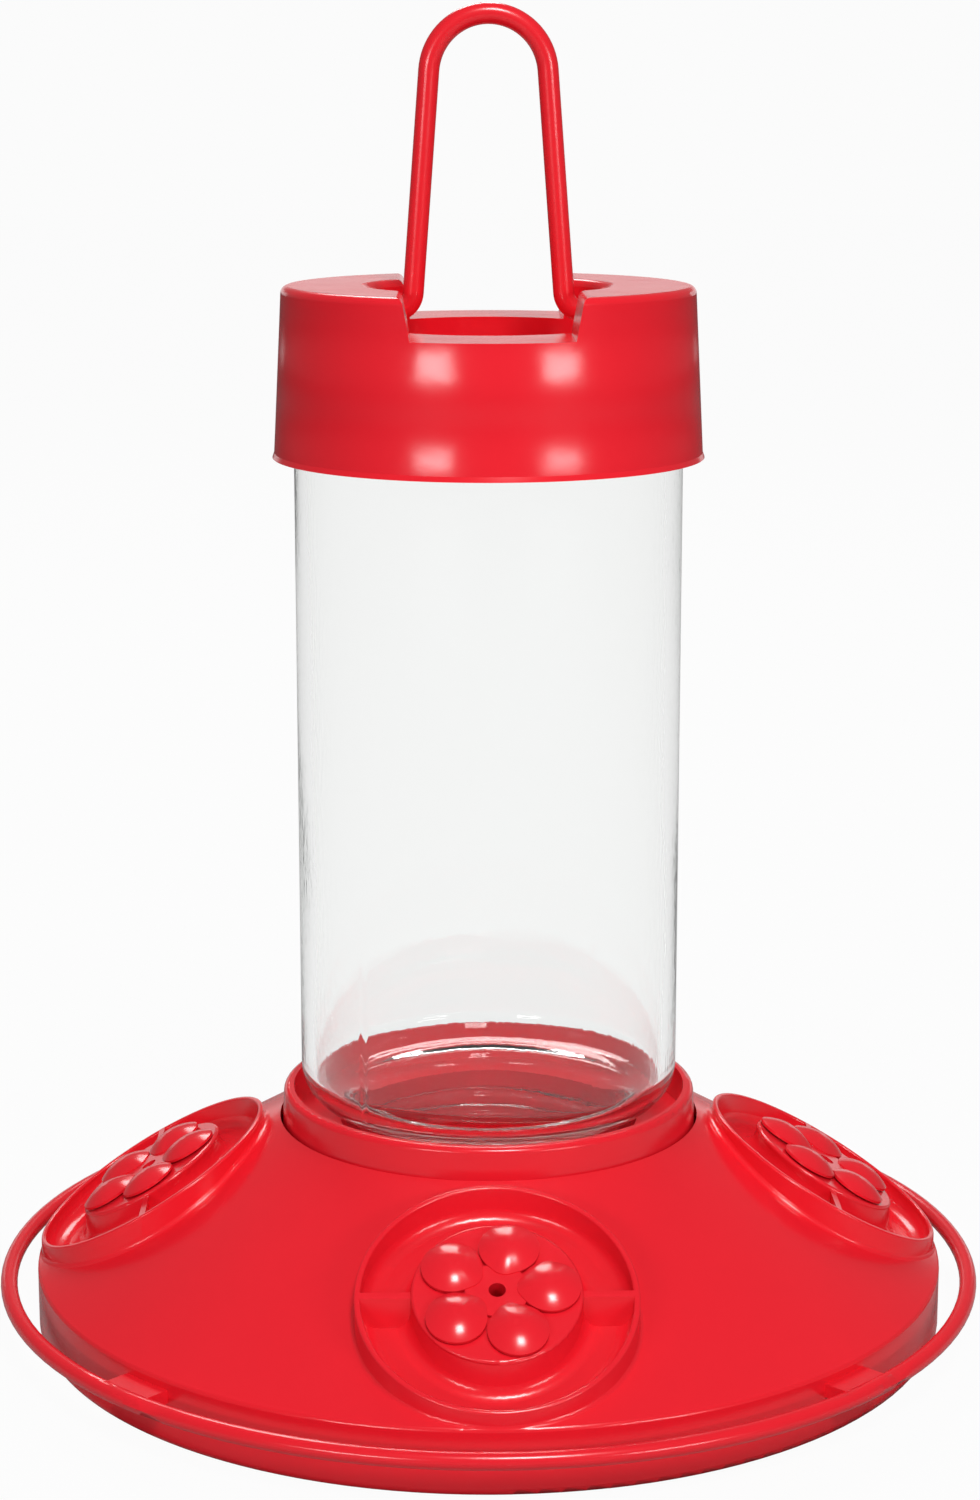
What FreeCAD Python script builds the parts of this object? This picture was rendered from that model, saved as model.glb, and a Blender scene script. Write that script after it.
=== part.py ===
"""Hanging hummingbird feeder: a glass bottle mouth down in a round nectar dish with four flower ports.

Millimetres, +Z up, the origin under the middle of the dish. Port 1 faces -Y, and the wire bail swings
about X.
"""
import FreeCAD, Part
import math
import os
import re
import Sketcher
from FreeCAD import Placement, Rotation, Vector

SIZES = (
    # Nectar dish
    ("dish_floor", 2.0, "thickness of the floor"),
    ("dish_wall", 2.4, "thickness of the outer wall"),
    ("dish_edge", 1.5, "rounding under the outer wall"),
    ("seam_level", 7.1, "where the cover's skirt sits on the dish wall"),
    ("lap_height", 1.1, "upstand that centres the cover"),
    ("lap_thickness", 1.1, "thickness of that upstand"),
    ("lap_clearance", 0.3, "gap between the upstand and the skirt"),
    # Tower in the middle of the dish
    ("tower_wall", 2.4, "wall of the tower"),
    ("shelf_inset", 1.5, "how much narrower than the bottle's mouth the bore under it is"),
    ("slot_width", 10.0, "flow slot at the foot of the tower"),
    ("slot_height", 6.0, "height of a flow slot"),
    ("ledge_gap", 3.5, "from the ledge inside the collar up to the bottle's shoulder"),
    ("collar_clearance", 1.67, "gap between the bottle and the collar's rim"),
    ("collar_draft", 0.43, "how much narrower the collar is at its rim"),
    ("collar_wall", 2.0, "thickness of the collar at its rim"),
    ("collar_height", 7.0, "height of the rim over that ledge"),
    ("collar_edge", 1.2, "rounding of the rim's outer edge"),
    # Bottle and its washer
    ("glass_radius", 38.1, "outside of the bottle"),
    ("glass_wall", 3.0, "thickness of the glass"),
    ("bottle_height", 169.0, "length of the bottle"),
    ("glass_corner", 5.0, "rounding of the closed end"),
    ("neck_height", 22.5, "from the mouth to the shoulder"),
    ("shoulder_round", 8.5, "rounding of the shoulder"),
    ("neck_step", 8.9, "how much narrower than the bottle its neck is"),
    ("neck_wall", 3.2, "thickness of the neck"),
    ("thread_height", 0.8, "height of the thread over the neck"),
    ("thread_inset", 4.0, "plain neck between the mouth and the thread"),
    ("thread_length", 12.0, "length of the thread"),
    ("thread_clearance", 0.4, "gap between the thread and the tower"),
    ("mouth_level", 22.0, "level of the mouth"),
    ("washer_height", 2.0, "thickness of the sealing washer"),
    ("washer_inset", 0.6, "how much narrower than the bottle's mouth the hole in the washer is"),
    ("washer_clearance", 0.4, "gap round the washer"),
    # Cover with its perch ring
    ("cover_wall", 1.8, "thickness of the cone"),
    ("cone_edge", 12.9, "foot of the cone, where it turns into the skirt"),
    ("cone_overlap", 0.8, "height of the cone's upper edge over the ledge inside the collar"),
    ("collar_gap", 0.45, "gap round the collar"),
    ("skirt_round", 0.8, "rounding between the cone and the skirt"),
    ("perch_gap", 4.2, "gap between the skirt and the perch ring"),
    ("perch_section", 1.7, "half the thickness of the perch ring"),
    ("perch_level", 9.8, "level of the perch ring"),
    ("bridge_width", 11.5, "width of a bridge between the skirt and the ring"),
    ("bridge_height", 2.6, "thickness of a bridge"),
    ("bridge_count", 4, "bridges round the ring"),
    # Feeding ports
    ("port_inset", 3.54, "from the cone's upper edge to a port, seen from above"),
    ("port_half", 22.91, "half of a port's length down the slope, seen from above"),
    ("port_margin", 0.39, "from a port to the outside of the skirt, seen from above"),
    ("port_rise", 2.87, "height of a port's rim over the cone"),
    ("port_lip", 1.2, "thickness of the rim"),
    ("moat_depth", 5.8, "depth of the moat, measured straight down"),
    ("moat_floor", 1.8, "thickness under the moat"),
    ("moat_width", 9.3, "width of the moat"),
    ("moat_round", 3.0, "rounding at the bottom of the moat, where its wall is high enough"),
    ("dam_width", 1.4, "thickness of the two dams across a moat"),
    ("boss_rise", 0.7, "how far the island stands over the rim"),
    ("boss_wall", 1.8, "thickness of the island's top and side"),
    ("rim_round", 0.4, "rounding of the rim's edges"),
    ("foot_round", 0.9, "rounding where a port stands on the cone"),
    ("island_round", 0.6, "rounding of the island's upper edge"),
    ("port_count", 4, "ports round the cover"),
    # Flower inserts
    ("petal_margin", 0.4, "from the tip of a petal to the edge of the island"),
    ("petal_start", 3.7, "root of a petal from the middle of the flower"),
    ("petal_gap", 0.24, "gap between two petals"),
    ("petal_taper", 0.5, "how round a petal's root is, from 0 for a point"),
    ("petal_edge", 0.5, "thickness of a petal at its edge"),
    ("petal_crown", 2.3, "thickness of a petal at its middle"),
    ("petal_turn", 14.2, "degrees from the up-slope line to the first petal"),
    ("petal_count", 5, "petals of a flower"),
    ("petal_lift", 0.4, "gap under the petals"),
    ("flower_hub", 6.0, "radius of the disc that joins the petals"),
    ("hub_height", 0.7, "thickness of that disc"),
    ("feeding_hole", 1.6, "radius of the feeding hole"),
    ("stem_radius", 3.0, "outside of the stem"),
    ("stem_length", 9.0, "length of the stem under the island's top"),
    ("stem_clearance", 0.05, "gap round the stem"),
    # Cap
    ("cap_grip", 14.6, "how far the cap comes down over the glass"),
    ("cap_skirt", 3.65, "thickness of the cap's wall near its lower edge"),
    ("cap_draft", 1.69, "how much narrower the cap is at its top"),
    ("cap_bead", 0.35, "how far the lower edge flares"),
    ("bead_height", 1.0, "height of that flare"),
    ("cap_rise", 18.3, "height of the cap over its ceiling"),
    ("cap_edge", 1.5, "rounding of the top edges"),
    ("cap_wall", 2.4, "walls in the upper part of the cap"),
    ("cap_clearance", 0.2, "gap round the glass"),
    ("cap_seat", 0.3, "gap over the closed end of the glass"),
    ("channel_depth", 7.95, "depth of the channel across the cap"),
    ("channel_half", 15.3, "half the width of the channel at its floor"),
    ("channel_lean", 1.5, "how much wider each side is at the top"),
    ("well_radius", 23.2, "round well in the middle of the cap"),
    ("well_depth", 15.6, "depth of the well"),
    # Bail
    ("wire_radius", 2.05, "half the thickness of the coated wire"),
    ("wire_rise", 0.8, "gap between the channel's floor and the wire"),
    ("pivot_clearance", 0.15, "gap round the wire in its holes"),
    ("wire_stub", 3.4, "how far the wire's end stands out of the well's wall"),
    ("bend_radius", 3.8, "bend at the foot of each leg"),
    ("leg_lean", 4.3, "degrees that each leg leans inward"),
    ("loop_radius", 11.45, "middle line of the top of the loop"),
    ("loop_height", 44.95, "centre of the loop over the axis of the bail"),
)

SHOULDER_LEVEL = "(mouth_level + neck_height)"
GLASS_TOP = "(mouth_level + bottle_height)"
THREAD_START = "(mouth_level + thread_inset)"
THREAD_END = "(%s + thread_length)" % THREAD_START
LEDGE_LEVEL = "(%s - ledge_gap)" % SHOULDER_LEVEL
COLLAR_TOP = "(%s + collar_height)" % LEDGE_LEVEL
CONE_TOP = "(%s + cone_overlap)" % LEDGE_LEVEL
NECK_RADIUS = "(glass_radius - neck_step)"
NECK_BORE = "(%s - neck_wall)" % NECK_RADIUS
FLOW_RADIUS = "(%s - shelf_inset)" % NECK_BORE
COLLAR_INSIDE = "(glass_radius + collar_clearance)"
COLLAR_RIM = "(%s + collar_wall)" % COLLAR_INSIDE
COLLAR_RADIUS = "(%s + collar_draft)" % COLLAR_RIM
SHELF_LEVEL = "(mouth_level - washer_height)"
TUBE_SIDE = "(%s + tower_wall)" % FLOW_RADIUS
SLEEVE_BORE = "(%s + thread_height + thread_clearance)" % NECK_RADIUS
SLEEVE_SIDE = "(%s + tower_wall)" % SLEEVE_BORE
COVER_HOLE = "(%s + collar_gap)" % COLLAR_RADIUS
PORT_REACH = "(%s + port_inset + port_half)" % COVER_HOLE
DISH_RADIUS = "(%s + port_half + port_margin)" % PORT_REACH
WALL_INSIDE = "(%s - dish_wall)" % DISH_RADIUS
UPSTAND_SIDE = "(%s + lap_thickness)" % WALL_INSIDE
UPSTAND_TOP = "(seam_level + lap_height)"
CONE_TAN = "((%s - cone_edge) / (%s - %s))" % (CONE_TOP, DISH_RADIUS, COVER_HOLE)
CONE_SLOPE = "atan(%s)" % CONE_TAN
CONE_DROP = "(cover_wall / cos(%s))" % CONE_SLOPE
PORT_LEVEL = "(cone_edge + (port_half + port_margin) * %s + port_rise)" % CONE_TAN
PORT_RADIUS = "(port_half / cos(%s))" % CONE_SLOPE
CUP_DEPTH = "(moat_depth + moat_floor)"
MOAT_OUTSIDE = "(%s - port_lip)" % PORT_RADIUS
BOSS_RADIUS = "(%s - moat_width)" % MOAT_OUTSIDE
MOAT_ROUND = "min(moat_round; 0.92 * moat_depth * (1 - sin(%s)) / cos(%s))" % (CONE_SLOPE, CONE_SLOPE)
PETAL_REACH = "(%s - petal_margin)" % BOSS_RADIUS
PETAL_LENGTH = "(%s - petal_start)" % PETAL_REACH
PETAL_SHARE = "sin(180 / petal_count)"
PETAL_ROUND = "min((%s * %s - petal_gap / 2) / (1 + %s); 0.48 * %s)" % (
    PETAL_REACH, PETAL_SHARE, PETAL_SHARE, PETAL_LENGTH)
PETAL_ROOT = "(petal_taper * (%s - %s))" % (PETAL_LENGTH, PETAL_ROUND)
PETAL_MIDDLE = "((petal_start + %s) / 2)" % PETAL_REACH
PERCH_RADIUS = "(%s + perch_gap + perch_section)" % DISH_RADIUS
CAP_BOTTOM = "(%s - cap_grip)" % GLASS_TOP
CAP_CEILING = "(%s + cap_seat)" % GLASS_TOP
CAP_TOP = "(%s + cap_rise)" % CAP_CEILING
CHANNEL_FLOOR = "(%s - channel_depth)" % CAP_TOP
WELL_FLOOR = "(%s - well_depth)" % CAP_TOP
PIVOT_LEVEL = "(%s + wire_rise + wire_radius)" % CHANNEL_FLOOR
CAP_BORE = "(glass_radius + cap_clearance)"
CAP_RADIUS = "(%s + cap_skirt)" % CAP_BORE
CAP_SHOULDER = "(%s - cap_draft)" % CAP_RADIUS
WIRE_END = "(well_radius + cap_wall + wire_stub)"

# Courses of a petal's dome, as shares of its outline: the height over the edge falls with their square.
PETAL_COURSES = (1.0, 0.85, 0.65, 0.4, 0.15)

NEAR = 0.01
DOWN = Vector(0, 0, -1)
UP = Vector(0, 0, 1)

doc = FreeCAD.newDocument("hummingbird_feeder")
sheet = doc.addObject("Spreadsheet::Sheet", "sizes")
for row, (name, size, note) in enumerate(SIZES, start=1):
    sheet.set("A%d" % row, note)
    sheet.set("B%d" % row, str(size))
    sheet.setAlias("B%d" % row, name)
doc.recompute()


def in_cells(text):
    """The expression with each size name pointed at its cell of the sheet."""
    return re.sub(r"[a-z]+_[a-z]+", r"sizes.\g<0>", text)


def value(text):
    """What an expression of size names comes to."""
    result = sheet.evalExpression(in_cells(text))
    return float(getattr(result, "Value", result))


def bind(item, name, text):
    """Tie a property or a constraint to an expression of size names."""
    item.setExpression(name, in_cells(text))


def new_body(label):
    body = doc.addObject("PartDesign::Body", label)
    body.Label = label
    return body


def origin_item(body, role):
    return next(item for item in body.Origin.OriginFeatures if item.Role == role)


def new_sketch(body, name, role, level=None):
    """A sketch on one of the body's own planes, moved along the plane's normal by an expression."""
    sketch = body.newObject("Sketcher::SketchObject", name)
    sketch.AttachmentSupport = [(origin_item(body, role), "")]
    sketch.MapMode = "FlatFace"
    if level is not None:
        bind(sketch, "AttachmentOffset.Base.z", level)
    return sketch


def port_sketch(body, name, drop="0", rise="0"):
    """A sketch on the slope of the front port.

    The port's rim lies in its plane, moved straight down by drop and out along the normal by rise.
    """
    sketch = new_sketch(body, name, "XY_Plane")
    sketch.AttachmentOffset = Placement(Vector(0, 0, 0), Rotation(Vector(1, 0, 0), value(CONE_SLOPE)))
    bind(sketch, "AttachmentOffset.Rotation.Angle", CONE_SLOPE)
    bind(sketch, "AttachmentOffset.Base.y", "-" + PORT_REACH + " - %s * sin(%s)" % (rise, CONE_SLOPE))
    bind(sketch, "AttachmentOffset.Base.z", "%s - %s + %s * cos(%s)" % (PORT_LEVEL, drop, rise, CONE_SLOPE))
    return sketch


def limit(sketch, *terms, text=None):
    """Add one constraint, tied to an expression where one is given."""
    if text is None:
        sketch.addConstraint(Sketcher.Constraint(*terms))
        return
    index = sketch.addConstraint(Sketcher.Constraint(*terms, value(text)))
    bind(sketch, "Constraints[%d]" % index, text)


def pin(sketch, geometry, point, across, along):
    """Hold one point of a sketch at two expressions."""
    limit(sketch, "DistanceX", -1, 1, geometry, point, text=across)
    limit(sketch, "DistanceY", -1, 1, geometry, point, text=along)


def add_outline(sketch, points):
    """A closed outline of straight lines through points given as pairs of expressions."""
    spots = [Vector(value(across), value(along), 0) for across, along in points]
    lines = [sketch.addGeometry(Part.LineSegment(spot, following))
             for spot, following in zip(spots, spots[1:] + spots[:1])]
    for line, following, (across, along) in zip(lines, lines[1:] + lines[:1], points):
        limit(sketch, "Coincident", line, 2, following, 1)
        pin(sketch, line, 1, across, along)


def add_circle(sketch, radius, across="0", along="0"):
    spot = Vector(value(across), value(along), 0)
    circle = sketch.addGeometry(Part.Circle(spot, UP, value(radius)))
    pin(sketch, circle, 3, across, along)
    limit(sketch, "Radius", circle, text=radius)


def add_half_ring(sketch, inner, outer, side, facing):
    """The part of a ring round the origin that lies beyond a straight cut.

    facing is the direction of that part in degrees, a multiple of 90, and side the cut's distance.
    """
    turned = Rotation(UP, facing)
    cut = value(side)
    arcs = []
    for reach in (value(inner), value(outer)):
        rise = (reach ** 2 - cut ** 2) ** 0.5
        spots = [turned.multVec(Vector(*spot)) for spot in ((cut, -rise, 0), (reach, 0, 0), (cut, rise, 0))]
        arcs.append(sketch.addGeometry(Part.Arc(*spots)))
    inner_arc, outer_arc = arcs
    ends = {(arc, end): sketch.getPoint(arc, end) for arc in arcs for end in (1, 2)}
    level, distance = ("Vertical", "DistanceX") if facing % 180 == 0 else ("Horizontal", "DistanceY")
    signed = side if facing in (0, 90) else "-" + side
    for end in (1, 2):
        line = sketch.addGeometry(Part.LineSegment(ends[inner_arc, end], ends[outer_arc, end]))
        limit(sketch, "Coincident", line, 1, inner_arc, end)
        limit(sketch, "Coincident", line, 2, outer_arc, end)
        limit(sketch, level, line)
        limit(sketch, distance, -1, 1, line, 1, text=signed)
    for arc, radius in ((inner_arc, inner), (outer_arc, outer)):
        limit(sketch, "Coincident", arc, 3, -1, 1)
        limit(sketch, "Radius", arc, text=radius)


def revolve(body, name, sketch):
    feature = body.newObject("PartDesign::Revolution", name)
    feature.Profile = sketch
    feature.ReferenceAxis = (sketch, ["V_Axis"])
    feature.Angle = 360
    doc.recompute()
    return feature


def extrude(body, kind, name, sketch, length, direction=None, both_ways=False):
    """A pad or pocket of a sketch, along a given direction or the sketch's normal."""
    feature = body.newObject("PartDesign::" + kind, name)
    feature.Profile = sketch
    if direction is not None:
        feature.UseCustomVector = True
        feature.Direction = direction
        feature.AlongSketchNormal = False
    if both_ways:
        feature.SideType = "Symmetric"
    bind(feature, "Length", length)
    doc.recompute()
    return feature


def repeat(body, name, features, count):
    """Copies of the features, evenly round the upright axis."""
    pattern = body.newObject("PartDesign::PolarPattern", name)
    pattern.Originals = features
    pattern.Axis = (origin_item(body, "Z_Axis"), [""])
    pattern.Angle = 360
    bind(pattern, "Occurrences", count)
    body.Tip = pattern
    doc.recompute()
    return pattern


def round_edges(body, name, radius, wanted):
    """Round those edges of the body's last feature for which wanted(edge) is true."""
    base = body.Tip
    names = ["Edge%d" % number for number, edge in enumerate(base.Shape.Edges, start=1) if wanted(edge)]
    fillet = body.newObject("PartDesign::Fillet", name)
    fillet.Base = (base, names)
    bind(fillet, "Radius", radius)
    doc.recompute()
    return fillet


def is_rim(edge, radius, level):
    """Whether an edge is a level circle, or part of one, of a given radius round the axis."""
    curve = edge.Curve
    return (isinstance(curve, Part.Circle) and abs(curve.Radius - value(radius)) < NEAR
            and abs(curve.Center.z - value(level)) < NEAR and abs(curve.Axis.z) > 1 - NEAR)


def make_dish():
    """Floor, outer wall and the central tower that holds the bottle, in one moulding."""
    body = new_body("nectar_dish")
    section = new_sketch(body, "dish_section", "XZ_Plane")
    add_outline(section, (
        ("0", "0"),
        (DISH_RADIUS, "0"),
        (DISH_RADIUS, "seam_level"),
        (UPSTAND_SIDE, "seam_level"),
        (UPSTAND_SIDE, UPSTAND_TOP),
        (WALL_INSIDE, UPSTAND_TOP),
        (WALL_INSIDE, "dish_floor"),
        (TUBE_SIDE, "dish_floor"),
        (TUBE_SIDE, SHELF_LEVEL + " - tower_wall"),
        (SLEEVE_SIDE, SHELF_LEVEL + " - tower_wall"),
        (SLEEVE_SIDE, LEDGE_LEVEL + " - tower_wall"),
        (COLLAR_RADIUS, LEDGE_LEVEL + " - tower_wall"),
        (COLLAR_RIM, COLLAR_TOP),
        (COLLAR_INSIDE, COLLAR_TOP),
        (COLLAR_INSIDE, LEDGE_LEVEL),
        (SLEEVE_BORE, LEDGE_LEVEL),
        (SLEEVE_BORE, SHELF_LEVEL),
        (FLOW_RADIUS, SHELF_LEVEL),
        (FLOW_RADIUS, "dish_floor"),
        ("0", "dish_floor"),
    ))
    revolve(body, "dish_turned", section)
    round_edges(body, "dish_foot", "dish_edge", lambda edge: is_rim(edge, DISH_RADIUS, "0"))
    round_edges(body, "collar_rim", "collar_edge",
                lambda edge: is_rim(edge, COLLAR_RIM, COLLAR_TOP))
    for role in ("XZ_Plane", "YZ_Plane"):
        slot = new_sketch(body, "flow_slot_" + role[:2], role)
        add_outline(slot, (
            ("-slot_width / 2", "dish_floor"),
            ("slot_width / 2", "dish_floor"),
            ("slot_width / 2", "dish_floor + slot_height"),
            ("-slot_width / 2", "dish_floor + slot_height"),
        ))
        extrude(body, "Pocket", "flow_slots_" + role[:2], slot, "2 * %s + tower_wall" % TUBE_SIDE,
                both_ways=True)
    return body


def seen_from_port(edge):
    """An edge's two ends and its middle, each as (distance, height) from the middle of the nearest port.

    Distance lies in the plane of the port's rim, and height is straight up from that plane.
    """
    middle = edge.valueAt((edge.FirstParameter + edge.LastParameter) / 2)
    step = 360 / value("port_count")
    port = round(math.degrees(math.atan2(middle.x, -middle.y)) / step)
    slope, reach, level = value(CONE_TAN), value(PORT_REACH), value(PORT_LEVEL)
    seen = []
    for spot in (edge.Vertexes[0].Point, middle, edge.Vertexes[-1].Point):
        local = Rotation(UP, -step * port).multVec(spot)
        along = local.y + reach
        seen.append((math.hypot(local.x, along * math.hypot(1, slope)), local.z - level - slope * along))
    return seen


def is_port_circle(edge, radius, height):
    """Whether an edge runs round a port at the given radius and height."""
    return all(abs(distance - value(radius)) < NEAR and abs(rise - value(height)) < NEAR
               for distance, rise in seen_from_port(edge))


def is_moat_floor(edge):
    """Whether an edge is one of the curved edges round the bottom of a moat."""
    depth = value("moat_depth")
    return not isinstance(edge.Curve, Part.Line) and all(
        abs(rise + depth) < NEAR for distance, rise in seen_from_port(edge))


def is_port_foot(edge):
    """Whether an edge is where the outer wall of a port meets the upper face of the cone."""
    edge_level, skirt, steepness = value("cone_edge"), value(DISH_RADIUS), value(CONE_TAN)
    spots = (edge.Vertexes[0].Point, edge.Vertexes[-1].Point)
    rise = [spot.z - edge_level - (skirt - math.hypot(spot.x, spot.y)) * steepness for spot in spots]
    return (all(abs(distance - value(PORT_RADIUS)) < NEAR for distance, height in seen_from_port(edge))
            and all(abs(height) < NEAR for height in rise))


def make_cover():
    """The cone with its skirt, the perch ring on its bridges, and the moated ports, in one moulding."""
    body = new_body("flower_cover")
    section = new_sketch(body, "cover_section", "XZ_Plane")
    add_outline(section, (
        (COVER_HOLE, CONE_TOP),
        (DISH_RADIUS, "cone_edge"),
        (DISH_RADIUS, "seam_level"),
        (UPSTAND_SIDE + " + lap_clearance", "seam_level"),
        (UPSTAND_SIDE + " + lap_clearance", UPSTAND_TOP + " + lap_clearance"),
        (WALL_INSIDE, UPSTAND_TOP + " + lap_clearance"),
        (WALL_INSIDE, "cone_edge + dish_wall * %s - %s" % (CONE_TAN, CONE_DROP)),
        (COVER_HOLE, CONE_TOP + " - " + CONE_DROP),
    ))
    revolve(body, "cover_turned", section)
    round_edges(body, "cone_foot", "skirt_round", lambda edge: is_rim(edge, DISH_RADIUS, "cone_edge"))

    bridge = new_sketch(body, "bridge_plan", "XY_Plane")
    bridge.AttachmentOffset = Placement(Vector(0, 0, 0), Rotation(UP, 45))
    bind(bridge, "AttachmentOffset.Base.z", "perch_level - bridge_height / 2")
    add_outline(bridge, (
        (DISH_RADIUS + " - cover_wall / 2", "-bridge_width / 2"),
        (PERCH_RADIUS, "-bridge_width / 2"),
        (PERCH_RADIUS, "bridge_width / 2"),
        (DISH_RADIUS + " - cover_wall / 2", "bridge_width / 2"),
    ))
    first = extrude(body, "Pad", "bridge", bridge, "bridge_height", UP)
    repeat(body, "bridges", [first], "bridge_count")
    ring = new_sketch(body, "perch_section", "XZ_Plane")
    add_circle(ring, "perch_section", PERCH_RADIUS, "perch_level")
    revolve(body, "perch_ring", ring)

    rim = port_sketch(body, "port_rim")
    add_circle(rim, PORT_RADIUS)
    cup = extrude(body, "Pad", "port_cup", rim, CUP_DEPTH, DOWN)
    moat = port_sketch(body, "moat_plan")
    for facing in (90, 270):
        add_half_ring(moat, BOSS_RADIUS, MOAT_OUTSIDE, "dam_width / 2", facing)
    channel = extrude(body, "Pocket", "moat", moat, "moat_depth", DOWN)
    island = port_sketch(body, "island_plan")
    add_circle(island, BOSS_RADIUS)
    boss = extrude(body, "Pad", "island", island, "boss_rise")
    inside = port_sketch(body, "island_inside", drop=CUP_DEPTH)
    add_circle(inside, BOSS_RADIUS + " - boss_wall")
    hollow = extrude(body, "Pocket", "island_hollow", inside,
                     "%s + (boss_rise - boss_wall) / cos(%s)" % (CUP_DEPTH, CONE_SLOPE), UP)
    hole = port_sketch(body, "stem_hole_plan", rise="boss_rise")
    add_circle(hole, "stem_radius + stem_clearance")
    bore = extrude(body, "Pocket", "stem_hole", hole, "2 * boss_wall")
    repeat(body, "ports", [cup, channel, boss, hollow, bore], "port_count")
    round_edges(body, "moat_bottom", MOAT_ROUND, is_moat_floor)
    round_edges(body, "port_foot", "foot_round", is_port_foot)
    round_edges(body, "island_edge", "island_round", lambda edge: is_port_circle(
        edge, BOSS_RADIUS, "boss_rise / cos(%s)" % CONE_SLOPE))
    round_edges(body, "port_rims", "rim_round", lambda edge: is_port_circle(edge, PORT_RADIUS, "0")
                or is_port_circle(edge, MOAT_OUTSIDE, "0"))
    return body


def petal_course(body, name, share, level):
    """One level of a petal: a rounded wedge shrunk about the petal's middle by the given share."""
    sketch = new_sketch(body, name, "XY_Plane", level)
    tip = "(%s + %s * (%s - %s - %s))" % (PETAL_MIDDLE, share, PETAL_REACH, PETAL_ROUND, PETAL_MIDDLE)
    root = "(%s + %s * (petal_start + %s - %s))" % (PETAL_MIDDLE, share, PETAL_ROOT, PETAL_MIDDLE)
    tip_radius = "%s * %s" % (share, PETAL_ROUND)
    root_radius = "%s * %s" % (share, PETAL_ROOT)
    tip_x, root_x = value(tip), value(root)
    tip_size, root_size = value(tip_radius), value(root_radius)
    lean = (tip_size - root_size) / (tip_x - root_x)
    rise = (1 - lean ** 2) ** 0.5
    ends = {}
    for side in (1, -1):
        normal = Vector(-lean, side * rise, 0)
        ends[side] = (Vector(tip_x, 0, 0) + normal * tip_size, Vector(root_x, 0, 0) + normal * root_size)
    tip_arc = sketch.addGeometry(Part.Arc(ends[-1][0], Vector(tip_x + tip_size, 0, 0), ends[1][0]))
    upper = sketch.addGeometry(Part.LineSegment(ends[1][0], ends[1][1]))
    root_arc = sketch.addGeometry(Part.Arc(ends[1][1], Vector(root_x - root_size, 0, 0), ends[-1][1]))
    lower = sketch.addGeometry(Part.LineSegment(ends[-1][1], ends[-1][0]))
    limit(sketch, "Tangent", tip_arc, 2, upper, 1)
    limit(sketch, "Tangent", upper, 2, root_arc, 1)
    limit(sketch, "Tangent", root_arc, 2, lower, 1)
    limit(sketch, "Tangent", lower, 2, tip_arc, 1)
    pin(sketch, tip_arc, 3, tip, "0")
    pin(sketch, root_arc, 3, root, "0")
    limit(sketch, "Radius", tip_arc, text=tip_radius)
    limit(sketch, "Radius", root_arc, text=root_radius)
    return sketch


def make_flower(port):
    """A flower pressed into one port: hollow stem, a thin disc, and five lens-shaped petals."""
    body = new_body("flower_insert_%d" % (port + 1))
    label = "_%d" % (port + 1)
    section = new_sketch(body, "stem_section" + label, "XZ_Plane")
    add_outline(section, (
        ("feeding_hole", "-stem_length"),
        ("stem_radius", "-stem_length"),
        ("stem_radius", "0"),
        ("flower_hub", "0"),
        ("flower_hub", "hub_height"),
        ("feeding_hole", "hub_height"),
    ))
    revolve(body, "stem" + label, section)
    edge = petal_course(body, "petal_outline" + label, 1.0, "petal_lift")
    rim = extrude(body, "Pad", "petal_rim" + label, edge, "petal_edge")
    courses = [petal_course(body, "petal_course_%d%s" % (step, label), share,
                            "petal_lift + petal_edge + %s * (petal_crown - petal_edge)" % (1 - share ** 2))
               for step, share in enumerate(PETAL_COURSES, start=1)]
    dome = body.newObject("PartDesign::AdditiveLoft", "petal_dome" + label)
    dome.Profile = courses[0]
    dome.Sections = courses[1:]
    doc.recompute()
    repeat(body, "petals" + label, [rim, dome], "petal_count")
    turn = "(360 * %d / port_count)" % port
    reach = "(%s + boss_rise * sin(%s))" % (PORT_REACH, CONE_SLOPE)
    spot = "vector(%s * sin(%s); -%s * cos(%s); %s + boss_rise * cos(%s))" % (
        reach, turn, reach, turn, PORT_LEVEL, CONE_SLOPE)
    round_axis, lean, own_turn = (
        "rotation(vector(0; 0; 1); %s)" % turn,
        "rotation(vector(1; 0; 0); %s)" % CONE_SLOPE,
        "rotation(vector(0; 0; 1); 90 - petal_turn)")
    turning = "%s * %s * %s" % (round_axis, lean, own_turn)
    bind(body, "Placement", "placement(%s; %s)" % (spot, turning))
    doc.recompute()
    return body


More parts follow.
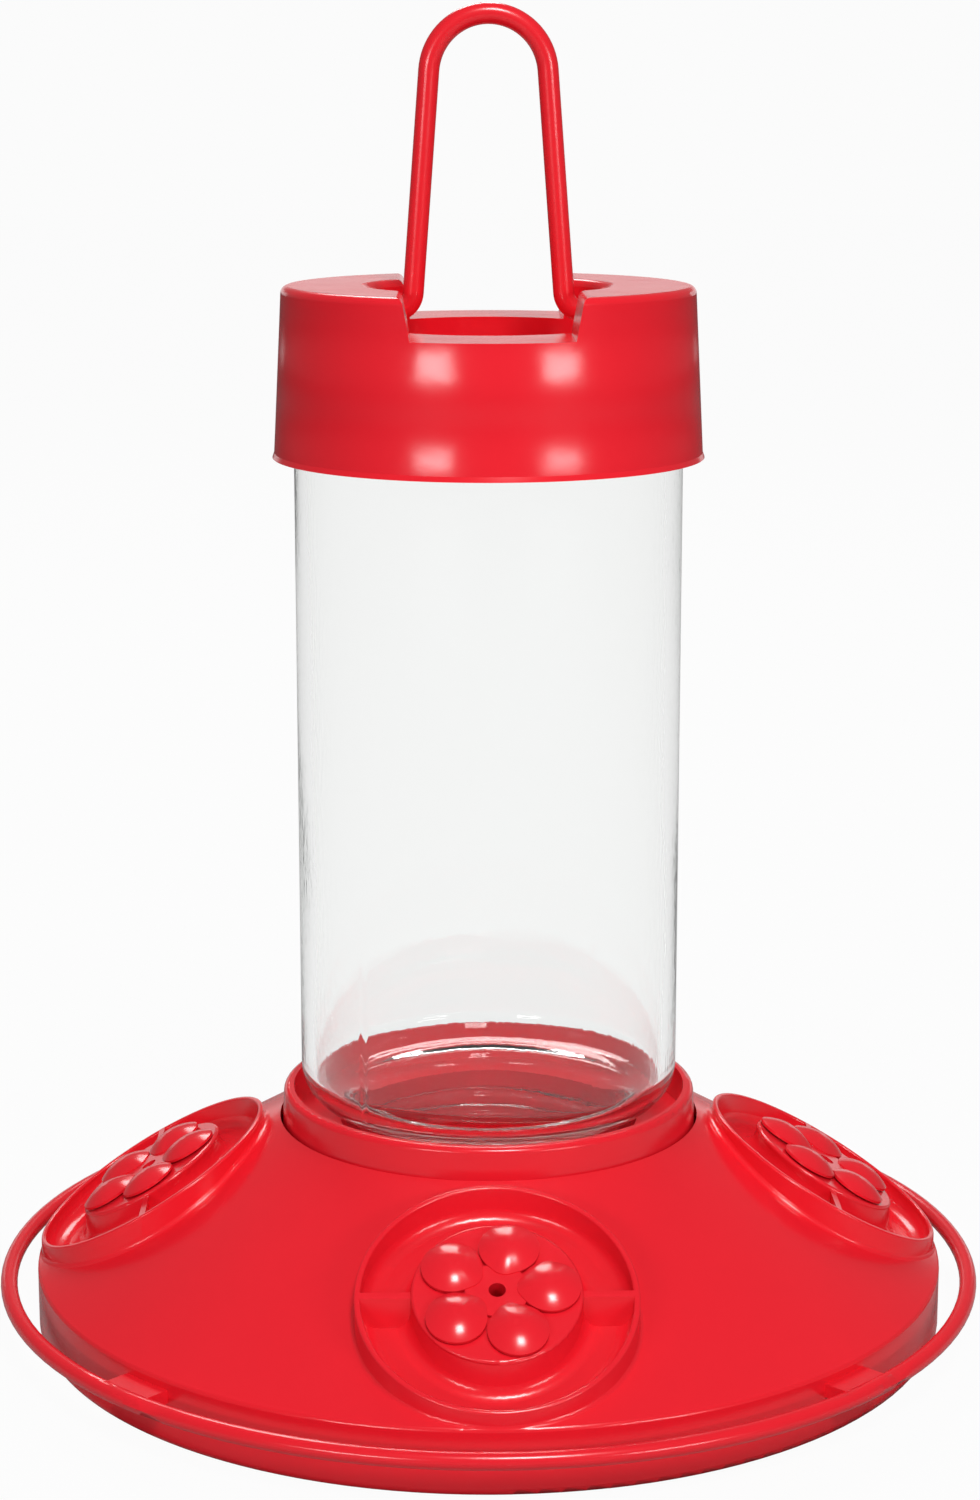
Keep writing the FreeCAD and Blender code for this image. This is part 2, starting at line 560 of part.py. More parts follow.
def make_bottle():
    """The glass bottle, mouth down, with a shoulder and a neck that screws into the tower."""
    body = new_body("glass_bottle")
    section = new_sketch(body, "bottle_section", "XZ_Plane")
    add_outline(section, (
        (NECK_BORE, "mouth_level"),
        (NECK_RADIUS, "mouth_level"),
        (NECK_RADIUS, THREAD_START),
        (NECK_RADIUS + " + thread_height", THREAD_START + " + thread_height"),
        (NECK_RADIUS + " + thread_height", THREAD_END + " - thread_height"),
        (NECK_RADIUS, THREAD_END),
        (NECK_RADIUS, SHOULDER_LEVEL),
        ("glass_radius", SHOULDER_LEVEL),
        ("glass_radius", GLASS_TOP),
        ("0", GLASS_TOP),
        ("0", GLASS_TOP + " - glass_wall"),
        ("glass_radius - glass_wall", GLASS_TOP + " - glass_wall"),
        ("glass_radius - glass_wall", SHOULDER_LEVEL + " + glass_wall"),
        (NECK_BORE, SHOULDER_LEVEL + " + glass_wall"),
    ))
    revolve(body, "bottle_turned", section)
    round_edges(body, "bottle_corner", "glass_corner", lambda edge: is_rim(edge, "glass_radius", GLASS_TOP))
    round_edges(body, "bottle_shoulder", "shoulder_round",
                lambda edge: is_rim(edge, "glass_radius", SHOULDER_LEVEL))
    round_edges(body, "bottle_corner_inside", "glass_corner - glass_wall",
                lambda edge: is_rim(edge, "glass_radius - glass_wall", GLASS_TOP + " - glass_wall"))
    round_edges(body, "bottle_shoulder_inside", "shoulder_round - glass_wall",
                lambda edge: is_rim(edge, "glass_radius - glass_wall", SHOULDER_LEVEL + " + glass_wall"))
    return body


def make_washer():
    """The soft washer between the bottle's mouth and the shelf in the tower."""
    body = new_body("bottle_gasket")
    plan = new_sketch(body, "washer_plan", "XY_Plane", SHELF_LEVEL)
    add_circle(plan, NECK_BORE + " - washer_inset")
    add_circle(plan, SLEEVE_BORE + " - washer_clearance")
    extrude(body, "Pad", "washer", plan, "washer_height", UP)
    return body


def is_top_edge(edge):
    """Whether an edge lies in the flat top of the cap."""
    top = value(CAP_TOP)
    return all(abs(vertex.Z - top) < NEAR for vertex in edge.Vertexes) and edge.BoundBox.ZLength < NEAR


def make_cap():
    """The cap over the closed end of the bottle: a channel across it, a round well, hollow sides."""
    body = new_body("hanger_cap")
    section = new_sketch(body, "cap_section", "XZ_Plane")
    add_outline(section, (
        (CAP_BORE, CAP_BOTTOM),
        (CAP_RADIUS + " + cap_bead", CAP_BOTTOM),
        (CAP_RADIUS, CAP_BOTTOM + " + bead_height"),
        (CAP_SHOULDER, CAP_TOP),
        ("0", CAP_TOP),
        ("0", CAP_CEILING),
        (CAP_BORE, CAP_CEILING),
    ))
    revolve(body, "cap_turned", section)
    across = new_sketch(body, "channel_section", "XZ_Plane")
    add_outline(across, (
        ("-channel_half", CHANNEL_FLOOR),
        ("channel_half", CHANNEL_FLOOR),
        ("channel_half + channel_lean", CAP_TOP),
        ("-channel_half - channel_lean", CAP_TOP),
    ))
    extrude(body, "Pocket", "channel", across, "3 * " + CAP_RADIUS, both_ways=True)
    round_plan = new_sketch(body, "well_plan", "XY_Plane", CAP_TOP)
    add_circle(round_plan, "well_radius")
    extrude(body, "Pocket", "well", round_plan, CAP_TOP + " - " + WELL_FLOOR, DOWN)
    round_edges(body, "top_edges", "cap_edge", is_top_edge)
    ring = new_sketch(body, "hollow_ring", "XY_Plane", CAP_CEILING)
    add_circle(ring, "well_radius + cap_wall")
    add_circle(ring, "%s - cap_wall" % CAP_SHOULDER)
    extrude(body, "Pocket", "hollow_under_channel", ring,
            CHANNEL_FLOOR + " - cap_wall - %s" % CAP_CEILING, UP)
    lobes = new_sketch(body, "hollow_lobes", "XY_Plane", CAP_CEILING)
    for facing in (0, 180):
        add_half_ring(lobes, "(well_radius + cap_wall)", "(%s - cap_wall)" % CAP_SHOULDER,
                      "(channel_half + channel_lean + cap_wall)", facing)
    extrude(body, "Pocket", "hollow_in_lobes", lobes, CAP_TOP + " - cap_wall - %s" % CAP_CEILING, UP)
    pivot = new_sketch(body, "pivot_holes_section", "YZ_Plane")
    add_circle(pivot, "wire_radius + pivot_clearance", "0", PIVOT_LEVEL)
    extrude(body, "Pocket", "pivot_holes", pivot, "2 * (well_radius + 2 * cap_wall)", both_ways=True)
    return body


def make_bail():
    """The coated wire: two turned-out ends, two legs that lean inward, and a round loop."""
    body = new_body("hanger_bail")
    path = new_sketch(body, "bail_path", "XZ_Plane")
    loop, bend = value("loop_radius"), value("bend_radius")
    foot_level = value(PIVOT_LEVEL)
    crown = Vector(0, value(PIVOT_LEVEL + " + loop_height"), 0)
    outward = Rotation(UP, value("leg_lean")).multVec(Vector(1, 0, 0))
    high = crown + outward * loop
    bend_x = high.x + (bend - (foot_level + bend - high.y) * outward.y) / outward.x
    centre = Vector(bend_x, foot_level + bend, 0)
    low = centre - outward * bend
    elbow = centre + (Vector(0, -1, 0) - outward).normalize() * bend
    foot = Vector(bend_x, foot_level, 0)
    tip = Vector(value(WIRE_END), foot_level, 0)

    def mirrored(spot):
        return Vector(-spot.x, spot.y, 0)

    runs = [path.addGeometry(Part.LineSegment(tip, foot)),
            path.addGeometry(Part.LineSegment(mirrored(tip), mirrored(foot)))]
    bends = [path.addGeometry(Part.Arc(low, elbow, foot)),
             path.addGeometry(Part.Arc(mirrored(foot), mirrored(elbow), mirrored(low)))]
    legs = [path.addGeometry(Part.LineSegment(low, high)),
            path.addGeometry(Part.LineSegment(mirrored(low), mirrored(high)))]
    top = path.addGeometry(Part.Arc(high, crown + Vector(0, loop, 0), mirrored(high)))
    for side, (bend_foot, bend_low) in enumerate(((2, 1), (1, 2))):
        limit(path, "Tangent", runs[side], 2, bends[side], bend_foot)
        limit(path, "Tangent", bends[side], bend_low, legs[side], 1)
        limit(path, "Tangent", legs[side], 2, top, side + 1)
        limit(path, "Radius", bends[side], text="bend_radius")
        limit(path, "Horizontal", runs[side])
    pin(path, runs[0], 1, WIRE_END, PIVOT_LEVEL)
    pin(path, runs[1], 1, "-" + WIRE_END, PIVOT_LEVEL)
    pin(path, top, 3, "0", PIVOT_LEVEL + " + loop_height")
    limit(path, "Radius", top, text="loop_radius")
    for side, text in ((0, "90 + leg_lean"), (1, "90 - leg_lean")):
        limit(path, "Angle", -1, 1, legs[side], 1, text=text)
    section = new_sketch(body, "wire_section", "YZ_Plane", "-" + WIRE_END)
    add_circle(section, "wire_radius", "0", PIVOT_LEVEL)
    wire = body.newObject("PartDesign::AdditivePipe", "wire")
    wire.Profile = section
    wire.Spine = (path, [])
    doc.recompute()
    return body


def check(bodies):
    """Stop if any feature failed or any piece isn't one sound solid."""
    for item in doc.Objects:
        if {"Invalid", "Error"} & set(item.State):
            raise RuntimeError("%s: %s" % (item.Name, item.State))
    for body in bodies:
        shape = body.Shape
        if shape.isNull() or not shape.isValid() or len(shape.Solids) != 1:
            raise RuntimeError("%s is not one sound solid" % body.Label)


bodies = [make_dish(), make_cover(), make_washer(), make_bottle(), make_cap(), make_bail()]
bodies += [make_flower(port) for port in range(int(value("port_count")))]
doc.recompute()
check(bodies)
os.makedirs("parts", exist_ok=True)
for body in bodies:
    body.Shape.exportStep("parts/%s.step" % body.Label)
    print("%-18s %10.1f mm3" % (body.Label, body.Shape.Volume))
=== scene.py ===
"""A hummingbird feeder on a white table: red plastic, a clear glass bottle and a coated wire bail."""
import math

import bpy
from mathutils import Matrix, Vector


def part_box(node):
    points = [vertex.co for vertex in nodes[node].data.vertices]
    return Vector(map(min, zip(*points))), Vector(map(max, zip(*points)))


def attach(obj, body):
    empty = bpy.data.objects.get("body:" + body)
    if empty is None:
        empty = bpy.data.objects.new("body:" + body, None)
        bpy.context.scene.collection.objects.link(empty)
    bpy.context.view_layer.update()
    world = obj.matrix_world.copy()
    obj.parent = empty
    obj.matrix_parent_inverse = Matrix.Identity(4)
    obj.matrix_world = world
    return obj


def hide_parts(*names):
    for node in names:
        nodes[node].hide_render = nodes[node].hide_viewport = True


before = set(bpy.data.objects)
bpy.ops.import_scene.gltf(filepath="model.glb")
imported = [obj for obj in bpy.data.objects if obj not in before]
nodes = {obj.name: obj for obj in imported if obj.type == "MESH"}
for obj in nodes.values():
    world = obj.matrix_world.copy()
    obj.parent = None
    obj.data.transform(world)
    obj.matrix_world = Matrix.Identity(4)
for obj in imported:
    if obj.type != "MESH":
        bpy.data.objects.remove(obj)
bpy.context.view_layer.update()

MM = 0.001
FULL_TURN = 2 * math.pi

# The camera, fitted to the photograph: millimetres, degrees, and pixels of its 980 by 1500. AXIS_PIXEL is
# the column that the bottle's axis stands at, and MIDDLE_PIXEL the middle of the picture.
CAMERA_DISTANCE = 618.46
CAMERA_HEIGHT = 250.99
CAMERA_TURN = 1.3
CAMERA_PITCH = 12.202
CAMERA_NEAR_AND_FAR = (0.01, 20)
AXIS_PIXEL = 488.5
MIDDLE_PIXEL = 490.0
FOCAL_PIXELS = 3162.0
IMAGE_HEIGHT = 1500.0
SENSOR = 36.0

# The bottle, in millimetres. Its outside radius, its mouth and its closed end come from the frame.
NECK_BORE = 26.0
NECK_RADIUS = 29.2
LIP_ROUND = 1.2
MOUTH_GAP = 0.05
SHOULDER_LEVEL = 44.5
SHOULDER_ROUND = 8.5
NECK_BEND = 2.5
INNER_BEND = 5.5
GLASS_WALL = 3.0
GLASS_CORNER = 5.0
END_DISC = 0.5

# The thread on the neck: its ends, how far it stands out, its pitch, half the width of its ridge and the
# length over which it fades away.
THREAD_START = 26.0
THREAD_END = 38.0
THREAD_RISE = 0.8
THREAD_PITCH = 5.0
THREAD_HALF_WIDTH = 2.0
THREAD_FADE = 1.5

# The two mould seams: where they are in degrees, how far they stand out, half their width, and how far
# outside the neck they begin.
SEAM_ANGLES = (229.2, 49.2)
SEAM_RISE = 0.14
SEAM_HALF_WIDTH = 0.45
SEAM_START = 1.0

# The uneven inner wall: its depth, and waves as a share of it, the number round the wall, the millimetres
# of height for one radian (a negative number leans the other way) and the radians that the wave starts at.
INNER_WAVE = 0.12
WAVES = ((1.0, 3, 31, 0.0), (1.0, 5, -17, 1.3), (0.5, 8, 9, 0.0))

# The bottle's mesh: columns round the axis, the spacing of its rows, and the sharpest angle that is smooth.
BOTTLE_COLUMNS = 360
LIP_SPACING = 1.0
NECK_SPACING = 0.3
WALL_SPACING = 2.5
END_SPACING = 3.0
SMOOTH_ANGLE = 50

# Colours and finishes, with the height of each relief in metres.
RED = (0.82, 0.012, 0.024)
WIRE_RED = (0.78, 0.012, 0.022)
WASHER_RED = (0.62, 0.012, 0.02)
PLASTIC_ROUGHNESS = 0.17
WIRE_ROUGHNESS = 0.2
WASHER_ROUGHNESS = 0.6
PLASTIC_IOR = 1.49
RIPPLE_HEIGHT = 0.0006
GRAIN_HEIGHT = 0.00004
GLASS_IOR = 1.5
GLASS_COLOUR = (0.982, 0.985, 0.982, 1)
GLASS_TINT = (0.50, 0.56, 0.50, 1)
GLASS_SHADOW = (0.55, 0.55, 0.55, 1)
GLASS_RIPPLE_HEIGHT = 0.0001

# Faint sinking of the cap's wall over its inner ribs: the spacing and depth of the waves, and a level at
# which the wall goes from a swell below to a hollow above, in metres.
SINK_SPACING = 0.0172
SINK_DEPTH = 0.0002
SINK_LEVEL = 0.1972

# The studio: strength of the room's own light, and softboxes as name, azimuth and elevation in degrees,
# width and height in metres, and watts.
ROOM_LIGHT = 0.18
LAMP_DISTANCE = 1.3
LAMP_AIM = (0, 0, 0.12)
LAMPS = (
    ("softbox_key", 10.0, 50.0, 0.30, 0.30, 11.0),
    ("softbox_back", 185.0, 42.0, 0.50, 0.50, 6.5),
    ("softbox_left", -30.0, 11.5, 0.42, 0.08, 3.0),
    ("softbox_right", 38.0, 11.5, 0.42, 0.08, 3.0),
)

# The table and the backdrop, in metres and degrees. The table lies a hair below the feeder's base. As
# light it is a mid grey, and the camera sees it as white by FLOOR_GLOW.
FLOOR_REACH = 6.0
FLOOR_LEVEL = -0.0002
FLOOR_COLOUR = (0.42, 0.42, 0.42, 1)
FLOOR_GLOW = 0.96
BACKDROP_REACH = 5.0
BACKDROP_HEIGHT = 0.8
BACKDROP_SPREAD = 60.0
BACKDROP_PANELS = 16
WHITE = (0.965, 0.965, 0.965, 1)


def give(tree, socket, given):
    """Set one input to a number or a colour, or wire it from another node's output."""
    if isinstance(given, bpy.types.NodeSocket):
        tree.links.new(given, socket)
    else:
        socket.default_value = given


def feed(tree, node, **inputs):
    """Give a node its inputs by name, with an underscore for each space."""
    for name, given in inputs.items():
        give(tree, node.inputs[name.replace("_", " ")], given)
    return node


def add_node(tree, kind, **inputs):
    """A new shader node with its inputs given by name."""
    return feed(tree, tree.nodes.new("ShaderNode" + kind), **inputs)


def calculate(tree, operation, *values):
    """The result of a Math node whose inputs are numbers or other nodes' outputs."""
    node = add_node(tree, "Math")
    node.operation = operation
    for socket, given in zip(node.inputs, values):
        give(tree, socket, given)
    return node.outputs["Value"]


def any_ray(tree, *kinds):
    """One value that is 1 for the named kinds of ray, such as Camera."""
    light_path = add_node(tree, "LightPath")
    found = [light_path.outputs["Is %s Ray" % kind] for kind in kinds]
    total = found[0]
    for other in found[1:]:
        total = calculate(tree, "MAXIMUM", total, other)
    return total


def switch_surface(tree, output, share, first, second):
    """Wire two shaders to the surface: the first shows where the share is 0, the second where it is 1."""
    mix = add_node(tree, "MixShader", Fac=share)
    give(tree, mix.inputs[1], first)
    give(tree, mix.inputs[2], second)
    feed(tree, tree.nodes[output], Surface=mix.outputs["Shader"])


def new_material(name):
    """A material, with its node tree and its Principled shader."""
    material = bpy.data.materials.new(name)
    material.use_nodes = True
    return material, material.node_tree, material.node_tree.nodes["Principled BSDF"]


def add_surface_sockets(group):
    """The named inputs and outputs of the moulded surface."""
    socket = group.interface.new_socket
    socket("Colour", in_out="INPUT", socket_type="NodeSocketColor").default_value = (*RED, 1)
    amounts = {"Roughness": 0.3, "Duller": 0.06, "Ripple": 0.1, "Grain": 0.05, "Sinking": 0.0}
    for name, amount in amounts.items():
        socket(name, in_out="INPUT", socket_type="NodeSocketFloat").default_value = amount
    socket("Colour", in_out="OUTPUT", socket_type="NodeSocketColor")
    socket("Roughness", in_out="OUTPUT", socket_type="NodeSocketFloat")
    socket("Normal", in_out="OUTPUT", socket_type="NodeSocketVector")


def sinking_wave(tree, place):
    """Swells and hollows that follow one another up the cap's wall."""
    level = add_node(tree, "SeparateXYZ", Vector=place).outputs["Z"]
    pace = FULL_TURN / SINK_SPACING
    along = calculate(tree, "MULTIPLY_ADD", level, pace, math.pi - pace * SINK_LEVEL)
    return calculate(tree, "SINE", along)


def moulded_surface_group():
    """The skin of a moulding: a faint ripple, a fine grain, sinking, and slightly duller patches."""
    group = bpy.data.node_groups.new("moulded_surface", "ShaderNodeTree")
    add_surface_sockets(group)
    given = group.nodes.new("NodeGroupInput").outputs
    place = add_node(group, "TexCoord").outputs["Object"]
    ripple = add_node(group, "TexNoise", Vector=place, Scale=120.0, Detail=2.0)
    grain = add_node(group, "TexNoise", Vector=place, Scale=2600.0, Detail=2.0)
    patches = add_node(group, "TexNoise", Vector=place, Scale=38.0, Detail=4.0, Roughness=0.6)
    rippled = add_node(group, "Bump", Height=ripple.outputs["Fac"], Distance=RIPPLE_HEIGHT,
                       Strength=given["Ripple"])
    grained = add_node(group, "Bump", Height=grain.outputs["Fac"], Distance=GRAIN_HEIGHT,
                       Strength=given["Grain"], Normal=rippled.outputs["Normal"])
    sunk = add_node(group, "Bump", Height=sinking_wave(group, place), Distance=SINK_DEPTH,
                    Strength=given["Sinking"], Normal=grained.outputs["Normal"])
    roughness = calculate(group, "MULTIPLY_ADD", patches.outputs["Fac"], given["Duller"], given["Roughness"])
    tint = add_node(group, "MapRange", Value=patches.outputs["Fac"], From_Min=0.3, From_Max=0.7,
                    To_Min=0.97, To_Max=1.0)
    shade = add_node(group, "Mix")
    shade.data_type = "RGBA"
    shade.blend_type = "MULTIPLY"
    feed(group, shade, Factor=1.0, A=given["Colour"], B=tint.outputs["Result"])
    feed(group, group.nodes.new("NodeGroupOutput"), Colour=shade.outputs["Result"], Roughness=roughness,
         Normal=sunk.outputs["Normal"])
    return group


def plastic(name, skin, colour, roughness, **amounts):
    """Semi-gloss plastic or rubber: the shared skin with its own colour and gloss."""
    material, tree, shader = new_material(name)
    surface = add_node(tree, "Group")
    surface.node_tree = skin
    feed(tree, surface, Colour=(*colour, 1), Roughness=roughness, **amounts)
    look = surface.outputs
    feed(tree, shader, Base_Color=look["Colour"], Roughness=look["Roughness"], Normal=look["Normal"],
         IOR=PLASTIC_IOR)
    return material


def clear_glass():
    """Bottle glass: clear, faintly rippled, grey-green lengthwise, with a shadow that is half light."""
    material, tree, shader = new_material("clear_glass")
    place = add_node(tree, "TexCoord").outputs["Object"]
    drawn_out = add_node(tree, "Mapping", Vector=place, Scale=(1, 1, 0.3)).outputs["Vector"]
    ripple = add_node(tree, "TexNoise", Vector=drawn_out, Scale=900.0, Detail=2.0)
    rippled = add_node(tree, "Bump", Height=ripple.outputs["Fac"], Strength=0.12,
                       Distance=GLASS_RIPPLE_HEIGHT)
    feed(tree, shader, Base_Color=GLASS_COLOUR, Roughness=0.0, IOR=GLASS_IOR, Transmission_Weight=1.0,
         Normal=rippled.outputs["Normal"])
    tint = add_node(tree, "VolumeAbsorption", Color=GLASS_TINT, Density=6.0)
    feed(tree, tree.nodes["Material Output"], Volume=tint.outputs["Volume"])
    shadow = add_node(tree, "BsdfTransparent", Color=GLASS_SHADOW)
    switch_surface(tree, "Material Output", any_ray(tree, "Shadow"), shader.outputs["BSDF"],
                   shadow.outputs["BSDF"])
    return material


def arc(centre, radius, start, end, steps):
    """Points of an arc in the (radius, level) plane, from one angle to another in degrees."""
    turn = [math.radians(start + (end - start) * step / steps) for step in range(steps + 1)]
    return [(centre[0] + radius * math.cos(angle), centre[1] + radius * math.sin(angle)) for angle in turn]


def rows(start, end, spacing):
    """Evenly spaced points on a straight line of the section, without its last point."""
    count = max(1, round(math.dist(start, end) / spacing))
    return [(start[0] + (end[0] - start[0]) * step / count, start[1] + (end[1] - start[1]) * step / count)
            for step in range(count)]


def neck_bend(side, bend, centre, rounding):
    """Level of the bend between the neck and the shoulder's rounding, and the angle where the two meet."""
    across = side + bend - centre[0]
    rise = math.sqrt((rounding + bend) ** 2 - across ** 2)
    return centre[1] - rise, math.degrees(math.atan2(-rise, across))


def outer_line(radius, mouth, top):
    """The bottle's outside in the (radius, level) plane: lip, neck, shoulder, wall and closed end."""
    shoulder = (radius - SHOULDER_ROUND, SHOULDER_LEVEL + SHOULDER_ROUND)
    corner = (radius - GLASS_CORNER, top - GLASS_CORNER)
    bend_level, meeting = neck_bend(NECK_RADIUS, NECK_BEND, shoulder, SHOULDER_ROUND)
    line = rows(((NECK_BORE + NECK_RADIUS) / 2, mouth), (NECK_RADIUS - LIP_ROUND, mouth), LIP_SPACING)
    line += arc((NECK_RADIUS - LIP_ROUND, mouth + LIP_ROUND), LIP_ROUND, -90, 0, steps=5)
    line += rows((NECK_RADIUS, mouth + LIP_ROUND + NECK_SPACING), (NECK_RADIUS, bend_level), NECK_SPACING)
    line += arc((NECK_RADIUS + NECK_BEND, bend_level), NECK_BEND, 180, meeting + 180, steps=8)
    line += arc(shoulder, SHOULDER_ROUND, meeting, 0, steps=16)[1:]
    line += rows((radius, shoulder[1] + WALL_SPACING), (radius, corner[1]), WALL_SPACING)
    line += arc(corner, GLASS_CORNER, 0, 90, steps=10)
    line += rows((corner[0] - END_SPACING, top), (END_DISC, top), END_SPACING)
    return line


def inner_line(radius, mouth, top):
    """The bottle's inside in the (radius, level) plane: closed end, wall, shoulder, neck and lip."""
    shoulder = (radius - SHOULDER_ROUND, SHOULDER_LEVEL + SHOULDER_ROUND)
    corner = (radius - GLASS_CORNER, top - GLASS_CORNER)
    wall = radius - GLASS_WALL
    inner_round = SHOULDER_ROUND - GLASS_WALL
    bend_level, meeting = neck_bend(NECK_BORE, INNER_BEND, shoulder, inner_round)
    line = rows((END_DISC, top - GLASS_WALL), (corner[0], top - GLASS_WALL), END_SPACING)
    line += arc(corner, GLASS_CORNER - GLASS_WALL, 90, 0, steps=6)
    line += rows((wall, corner[1] - WALL_SPACING), (wall, shoulder[1]), WALL_SPACING)
    line += arc(shoulder, inner_round, 0, meeting, steps=12)
    line += arc((NECK_BORE + INNER_BEND, bend_level), INNER_BEND, meeting + 180, 180, steps=10)[1:]
    line += rows((NECK_BORE, bend_level - LIP_SPACING), (NECK_BORE, mouth + LIP_ROUND), LIP_SPACING)
    line += arc((NECK_BORE + LIP_ROUND, mouth + LIP_ROUND), LIP_ROUND, 180, 270, steps=5)
    return line


def ridge(distance, half_width):
    """The height of a smooth ridge: 1 in the middle, 0 beyond its half width."""
    share = min(1.0, abs(distance) / half_width)
    return (1 - share * share) ** 2


def seams(reach, angle):
    """How far the mould seams stand out."""
    apart = [(angle - math.radians(seam) + math.pi) % FULL_TURN - math.pi for seam in SEAM_ANGLES]
    return sum(SEAM_RISE * ridge(off * reach, SEAM_HALF_WIDTH) for off in apart)


def thread(level, angle):
    """How far the thread stands out from the neck."""
    along = (level - THREAD_START) / THREAD_PITCH - angle / FULL_TURN
    off = (along - round(along)) * THREAD_PITCH
    fade = min(1.0, (level - THREAD_START) / THREAD_FADE, (THREAD_END - level) / THREAD_FADE)
    return THREAD_RISE * ridge(off, THREAD_HALF_WIDTH) * fade


def inner_unevenness(level, angle):
    """How far the inner wall stands out from a true cylinder."""
    sway = sum(share * math.sin(count * angle + level / pace + start) for share, count, pace, start in WAVES)
    return INNER_WAVE * sway / sum(share for share, *_ in WAVES)


def blown_radius(reach, level, angle, outside, radius, top):
    """The radius at one point of the bottle, with its seam, thread or unevenness."""
    if outside and reach > NECK_RADIUS + SEAM_START and level < top - GLASS_CORNER:
        return reach + seams(reach, angle)
    if outside and THREAD_START < level < THREAD_END:
        return reach + thread(level, angle)
    if not outside and reach > radius - GLASS_WALL - INNER_WAVE:
        return reach + inner_unevenness(level, angle)
    return reach


def lathe_faces(count, columns, closed_end):
    """Faces from each row of a section to the next, with a disc on both sides of the closed end."""
    faces = []
    for row in range(count):
        following = (row + 1) % count
        for column in range(columns):
            beside = (column + 1) % columns
            if row != closed_end:
                faces.append((row * columns + column, row * columns + beside,
                              following * columns + beside, following * columns + column))
    faces.append([closed_end * columns + column for column in range(columns)])
    faces.append([(closed_end + 1) * columns + column for column in reversed(range(columns))])
    return faces


def add_bottle(material):
    """The blown bottle: two mould seams, a real thread on the neck and a slightly uneven inner wall."""
    low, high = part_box("glass_bottle")
    radius, mouth, top = high[0] / MM, low[2] / MM + MOUTH_GAP, high[2] / MM
    outer = outer_line(radius, mouth, top)
    section = outer + inner_line(radius, mouth, top)
    verts = []
    for number, (reach, level) in enumerate(section):
        for column in range(BOTTLE_COLUMNS):
            angle = FULL_TURN * column / BOTTLE_COLUMNS
            spot = blown_radius(reach, level, angle, number < len(outer), radius, top)
            verts.append((spot * MM * math.cos(angle), spot * MM * math.sin(angle), level * MM))
    mesh = bpy.data.meshes.new("bottle_glass")
    mesh.from_pydata(verts, [], lathe_faces(len(section), BOTTLE_COLUMNS, len(outer) - 1))
    mesh.validate()
    piece = bpy.data.objects.new("bottle_glass", mesh)
    bpy.context.scene.collection.objects.link(piece)
    for polygon in mesh.polygons:
        polygon.use_smooth = True
    mesh.set_sharp_from_angle(angle=math.radians(SMOOTH_ANGLE))
    mesh.materials.append(material)
    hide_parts("glass_bottle")
    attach(piece, "bottle")


def dress(node, material):
    """Give a carried-over node its material in every slot."""
    piece = nodes[node]
    if not piece.material_slots:
        piece.data.materials.append(material)
    for slot in piece.material_slots:
        slot.material = material


def point_at(item, direction):
    """Turn a camera or a lamp to look in a direction, with its upper side up."""
    item.rotation_mode = "QUATERNION"
    item.rotation_quaternion = direction.to_track_quat("-Z", "Y")


def add_camera():
    """The camera of the photograph."""
    data = bpy.data.cameras.new("camera")
    data.sensor_width = SENSOR
    data.lens = FOCAL_PIXELS / IMAGE_HEIGHT * SENSOR
    data.clip_start, data.clip_end = CAMERA_NEAR_AND_FAR
    camera = bpy.data.objects.new("camera", data)
    turn, pitch = math.radians(CAMERA_TURN), math.radians(CAMERA_PITCH)
    camera.location = (-CAMERA_DISTANCE * MM * math.sin(turn), -CAMERA_DISTANCE * MM * math.cos(turn),
                       CAMERA_HEIGHT * MM)
    heading = turn + math.atan((MIDDLE_PIXEL - AXIS_PIXEL) / FOCAL_PIXELS)
    point_at(camera, Vector((math.sin(heading) * math.cos(pitch), math.cos(heading) * math.cos(pitch),
                             -math.sin(pitch))))
    bpy.context.scene.collection.objects.link(camera)
    bpy.context.scene.camera = camera


def stage_piece(name, verts, faces):
    """A plain surface of the studio, as the tree and the shader of its new material."""
    data = bpy.data.meshes.new(name)
    data.from_pydata(verts, [], faces)
    piece = bpy.data.objects.new(name, data)
    bpy.context.scene.collection.objects.link(piece)
    material, tree, shader = new_material(name + "_white")
    data.materials.append(material)
    return tree, shader


def add_floor():
    """A plain white table, which the camera sees as white apart from the object's shadow."""
    sides = ((-1, -1), (1, -1), (1, 1), (-1, 1))
    corners = [(x * FLOOR_REACH, y * FLOOR_REACH, FLOOR_LEVEL) for x, y in sides]
    tree, shader = stage_piece("floor", corners, [(0, 1, 2, 3)])
    feed(tree, shader, Base_Color=FLOOR_COLOUR, Roughness=0.9, Specular_IOR_Level=0.0)
    glow = add_node(tree, "Emission", Strength=1.0)
    share = calculate(tree, "MULTIPLY", any_ray(tree, "Camera", "Transmission"), FLOOR_GLOW)
    switch_surface(tree, "Material Output", share, shader.outputs["BSDF"], glow.outputs["Emission"])


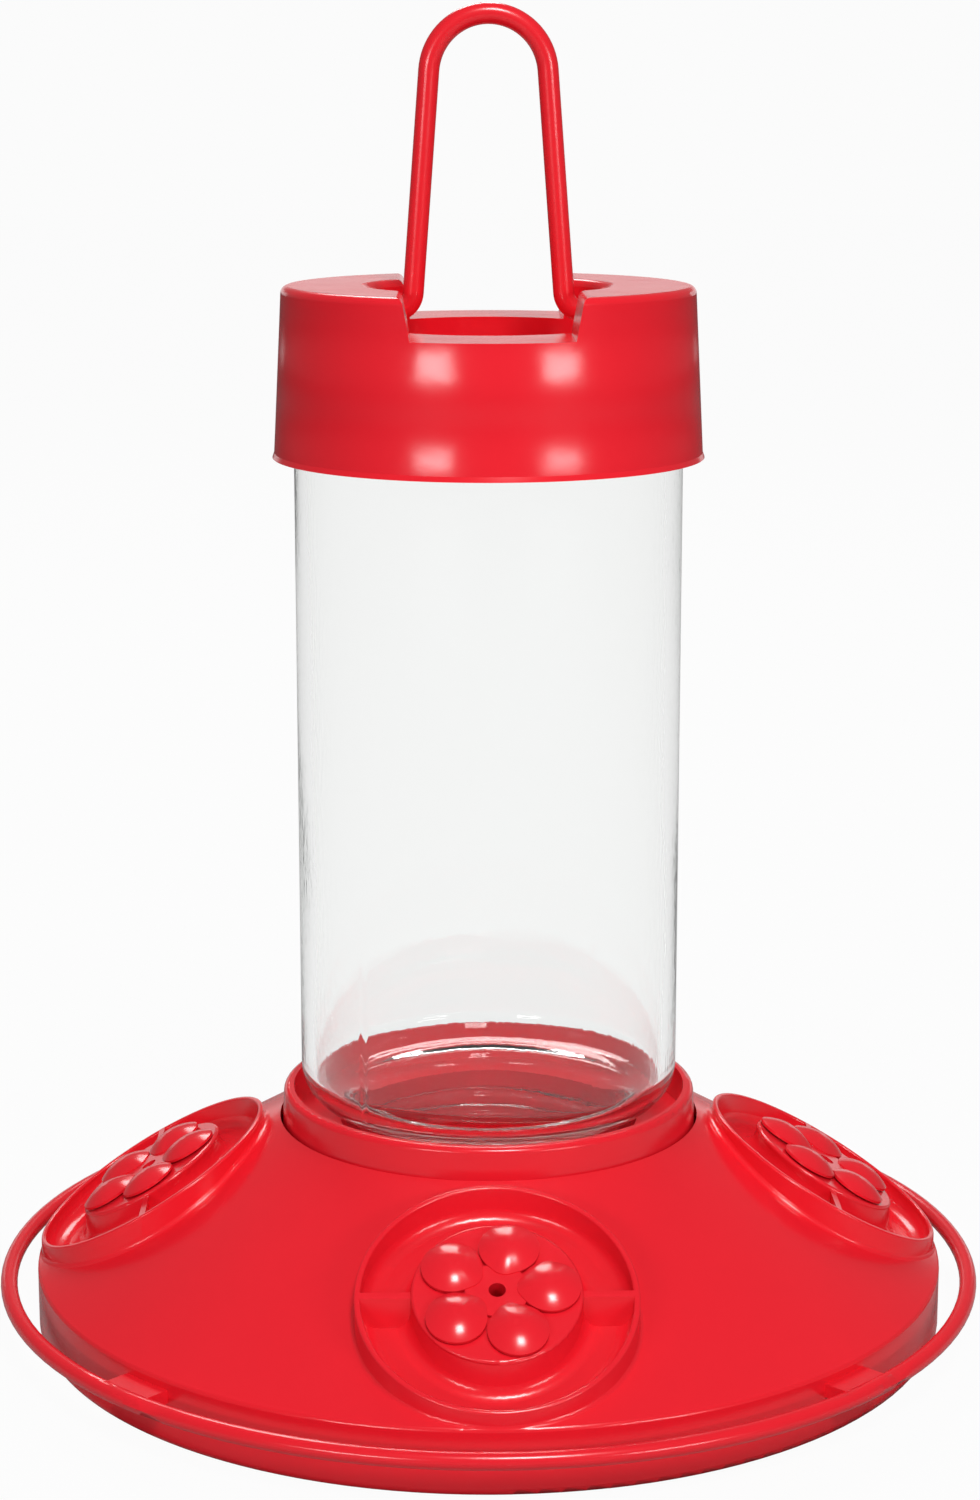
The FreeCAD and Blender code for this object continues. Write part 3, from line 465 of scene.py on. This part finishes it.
def add_backdrop():
    """A low white wall behind the table: white where it is seen or mirrored, dimmer as light."""
    verts, faces = [], []
    for step in range(BACKDROP_PANELS + 1):
        turn = math.radians(90 + BACKDROP_SPREAD * (step / BACKDROP_PANELS - 0.5))
        for level in (0, BACKDROP_HEIGHT):
            verts.append((BACKDROP_REACH * math.cos(turn), BACKDROP_REACH * math.sin(turn), level))
    for step in range(BACKDROP_PANELS):
        faces.append((2 * step, 2 * step + 2, 2 * step + 3, 2 * step + 1))
    tree, shader = stage_piece("backdrop", verts, faces)
    tree.nodes.remove(shader)
    light = add_node(tree, "Emission", Strength=ROOM_LIGHT)
    seen = add_node(tree, "Emission", Color=WHITE, Strength=1.0)
    share = any_ray(tree, "Camera", "Glossy", "Transmission")
    switch_surface(tree, "Material Output", share, light.outputs["Emission"], seen.outputs["Emission"])


def add_world():
    """The room: white where it is seen, dimmer as light."""
    world = bpy.data.worlds.new("white_room")
    bpy.context.scene.world = world
    world.use_nodes = True
    tree = world.node_tree
    light = feed(tree, tree.nodes["Background"], Color=(1, 1, 1, 1), Strength=ROOM_LIGHT)
    seen = add_node(tree, "Background", Color=WHITE)
    switch_surface(tree, "World Output", any_ray(tree, "Camera"), light.outputs["Background"],
                   seen.outputs["Background"])


def add_lamp(name, azimuth, elevation, width, height, watts):
    """A softbox facing the feeder, from a direction in degrees: 0 is the front and 90 the right side."""
    data = bpy.data.lights.new(name, "AREA")
    data.shape = "RECTANGLE"
    data.size, data.size_y = width, height
    data.energy = watts
    turn, rise = math.radians(azimuth), math.radians(elevation)
    reach = LAMP_DISTANCE * math.cos(rise)
    away = Vector((reach * math.sin(turn), -reach * math.cos(turn), LAMP_DISTANCE * math.sin(rise)))
    lamp = bpy.data.objects.new(name, data)
    lamp.location = Vector(LAMP_AIM) + away
    point_at(lamp, -away)
    bpy.context.scene.collection.objects.link(lamp)


skin = moulded_surface_group()
red = plastic("moulded_red", skin, RED, PLASTIC_ROUGHNESS)
cap_red = plastic("cap_plastic", skin, RED, PLASTIC_ROUGHNESS, Sinking=1.0)
wire_red = plastic("wire_coating", skin, WIRE_RED, WIRE_ROUGHNESS)
glass = clear_glass()
rubber = plastic("washer_rubber", skin, WASHER_RED, WASHER_ROUGHNESS)

for node in nodes:
    dress(node, red)
dress("hanger_cap", cap_red)
dress("hanger_bail", wire_red)
dress("bottle_gasket", rubber)
add_bottle(glass)

add_floor()
add_backdrop()
add_world()
for lamp in LAMPS:
    add_lamp(*lamp)
add_camera()
scene = bpy.context.scene
scene.view_settings.view_transform = "Standard"
scene.cycles.max_bounces = 24
scene.cycles.glossy_bounces = 16
scene.cycles.transmission_bounces = 20
